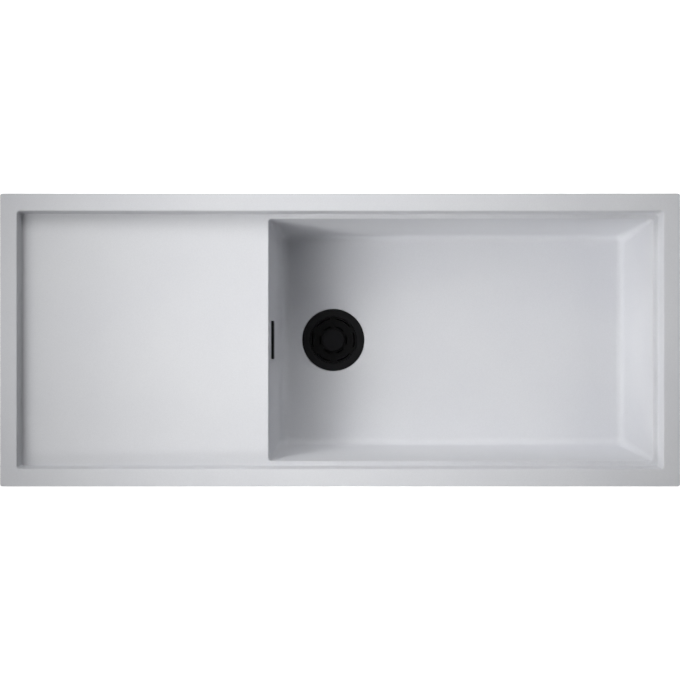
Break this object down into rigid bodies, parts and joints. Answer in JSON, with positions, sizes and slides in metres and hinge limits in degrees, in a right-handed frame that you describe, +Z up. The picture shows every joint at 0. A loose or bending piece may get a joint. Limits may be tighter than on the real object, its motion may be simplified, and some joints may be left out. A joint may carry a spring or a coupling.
{
  "type": "kitchen sink with drainboard",
  "caption": "Inset composite kitchen sink with a deep bowl on the right and a drainboard on the left, basket strainer waste, overflow with hose, and rim clamps.",
  "frame": {"origin": "centre of the sink at worktop level, the plane of the rim's underside", "axes": "+X along the sink from drainboard to bowl, +Y to the back, +Z up"},
  "size_m": [1.16, 0.5, 0.2815],
  "materials": {
    "composite": "light grey quartz composite, matt, very fine grain",
    "black_steel": "black coated stainless steel, satin",
    "black_plastic": "black moulded plastic, satin",
    "grey_plastic": "grey flexible plastic",
    "rubber": "black rubber",
    "brass": "turned brass",
    "steel": "zinc plated and stainless steel"
  },
  "bodies": {
    "sink": {"sink_body": "composite", "strainer_flange": "black_steel", "overflow_cover": "black_plastic", "flange_seal": "rubber", "waste_seal": "rubber", "waste_body": "black_plastic", "waste_bolt": "steel", "bolt_insert": "brass", "overflow_gasket": "rubber", "overflow_box": "black_plastic", "overflow_screws": "steel", "overflow_hose": "grey_plastic", "hose_nut_upper": "black_plastic", "hose_nut_lower": "black_plastic", "hose_washer_upper": "rubber", "hose_washer_lower": "rubber", "clamp_inserts": "brass"},
    "basket": {"strainer_basket": "black_steel", "stem_ring": "rubber"},
    "plug": {"basket_knob": "black_plastic", "plug_stem": "steel", "plug_seal": "rubber", "plug_nut": "steel"},
    "clamp_screw_1": {"clamp_screw_1": "steel"},
    "clamp_claw_1": {"clamp_claw_1": "steel"},
    "clamp_screw_2": {"clamp_screw_2": "steel"},
    "clamp_claw_2": {"clamp_claw_2": "steel"},
    "clamp_screw_3": {"clamp_screw_3": "steel"},
    "clamp_claw_3": {"clamp_claw_3": "steel"},
    "clamp_screw_4": {"clamp_screw_4": "steel"},
    "clamp_claw_4": {"clamp_claw_4": "steel"},
    "clamp_screw_5": {"clamp_screw_5": "steel"},
    "clamp_claw_5": {"clamp_claw_5": "steel"},
    "clamp_screw_6": {"clamp_screw_6": "steel"},
    "clamp_claw_6": {"clamp_claw_6": "steel"},
    "clamp_screw_7": {"clamp_screw_7": "steel"},
    "clamp_claw_7": {"clamp_claw_7": "steel"},
    "clamp_screw_8": {"clamp_screw_8": "steel"},
    "clamp_claw_8": {"clamp_claw_8": "steel"}
  },
  "joints": [
    {"name": "basket_lift", "type": "slide", "parent": "sink", "child": "basket", "axis": [0, 0, 1], "range_m": [0, 0.26]},
    {"name": "plug_lift", "type": "slide", "parent": "basket", "child": "plug", "axis": [0, 0, 1], "range_m": [0, 0.008]},
    {"name": "clamp_screw_1", "type": "slide", "parent": "sink", "child": "clamp_screw_1", "axis": [0, 0, 1], "range_m": [0, 0.017]},
    {"name": "clamp_swing_1", "type": "hinge", "parent": "clamp_screw_1", "child": "clamp_claw_1", "pos_m": [-0.43, 0.228, -0.0585], "axis": [0, 0, 1], "range_deg": [0, 90]},
    {"name": "clamp_screw_2", "type": "slide", "parent": "sink", "child": "clamp_screw_2", "axis": [0, 0, 1], "range_m": [0, 0.017]},
    {"name": "clamp_swing_2", "type": "hinge", "parent": "clamp_screw_2", "child": "clamp_claw_2", "pos_m": [0, 0.228, -0.0585], "axis": [0, 0, 1], "range_deg": [0, 90]},
    {"name": "clamp_screw_3", "type": "slide", "parent": "sink", "child": "clamp_screw_3", "axis": [0, 0, 1], "range_m": [0, 0.017]},
    {"name": "clamp_swing_3", "type": "hinge", "parent": "clamp_screw_3", "child": "clamp_claw_3", "pos_m": [0.43, 0.228, -0.0585], "axis": [0, 0, 1], "range_deg": [0, 90]},
    {"name": "clamp_screw_4", "type": "slide", "parent": "sink", "child": "clamp_screw_4", "axis": [0, 0, 1], "range_m": [0, 0.017]},
    {"name": "clamp_swing_4", "type": "hinge", "parent": "clamp_screw_4", "child": "clamp_claw_4", "pos_m": [0.558, 0, -0.0585], "axis": [0, 0, 1], "range_deg": [0, 90]},
    {"name": "clamp_screw_5", "type": "slide", "parent": "sink", "child": "clamp_screw_5", "axis": [0, 0, 1], "range_m": [0, 0.017]},
    {"name": "clamp_swing_5", "type": "hinge", "parent": "clamp_screw_5", "child": "clamp_claw_5", "pos_m": [0.43, -0.228, -0.0585], "axis": [0, 0, 1], "range_deg": [0, 90]},
    {"name": "clamp_screw_6", "type": "slide", "parent": "sink", "child": "clamp_screw_6", "axis": [0, 0, 1], "range_m": [0, 0.017]},
    {"name": "clamp_swing_6", "type": "hinge", "parent": "clamp_screw_6", "child": "clamp_claw_6", "pos_m": [0, -0.228, -0.0585], "axis": [0, 0, 1], "range_deg": [0, 90]},
    {"name": "clamp_screw_7", "type": "slide", "parent": "sink", "child": "clamp_screw_7", "axis": [0, 0, 1], "range_m": [0, 0.017]},
    {"name": "clamp_swing_7", "type": "hinge", "parent": "clamp_screw_7", "child": "clamp_claw_7", "pos_m": [-0.43, -0.228, -0.0585], "axis": [0, 0, 1], "range_deg": [0, 90]},
    {"name": "clamp_screw_8", "type": "slide", "parent": "sink", "child": "clamp_screw_8", "axis": [0, 0, 1], "range_m": [0, 0.017]},
    {"name": "clamp_swing_8", "type": "hinge", "parent": "clamp_screw_8", "child": "clamp_claw_8", "pos_m": [-0.558, 0, -0.0585], "axis": [0, 0, 1], "range_deg": [0, 90]}
  ]
}
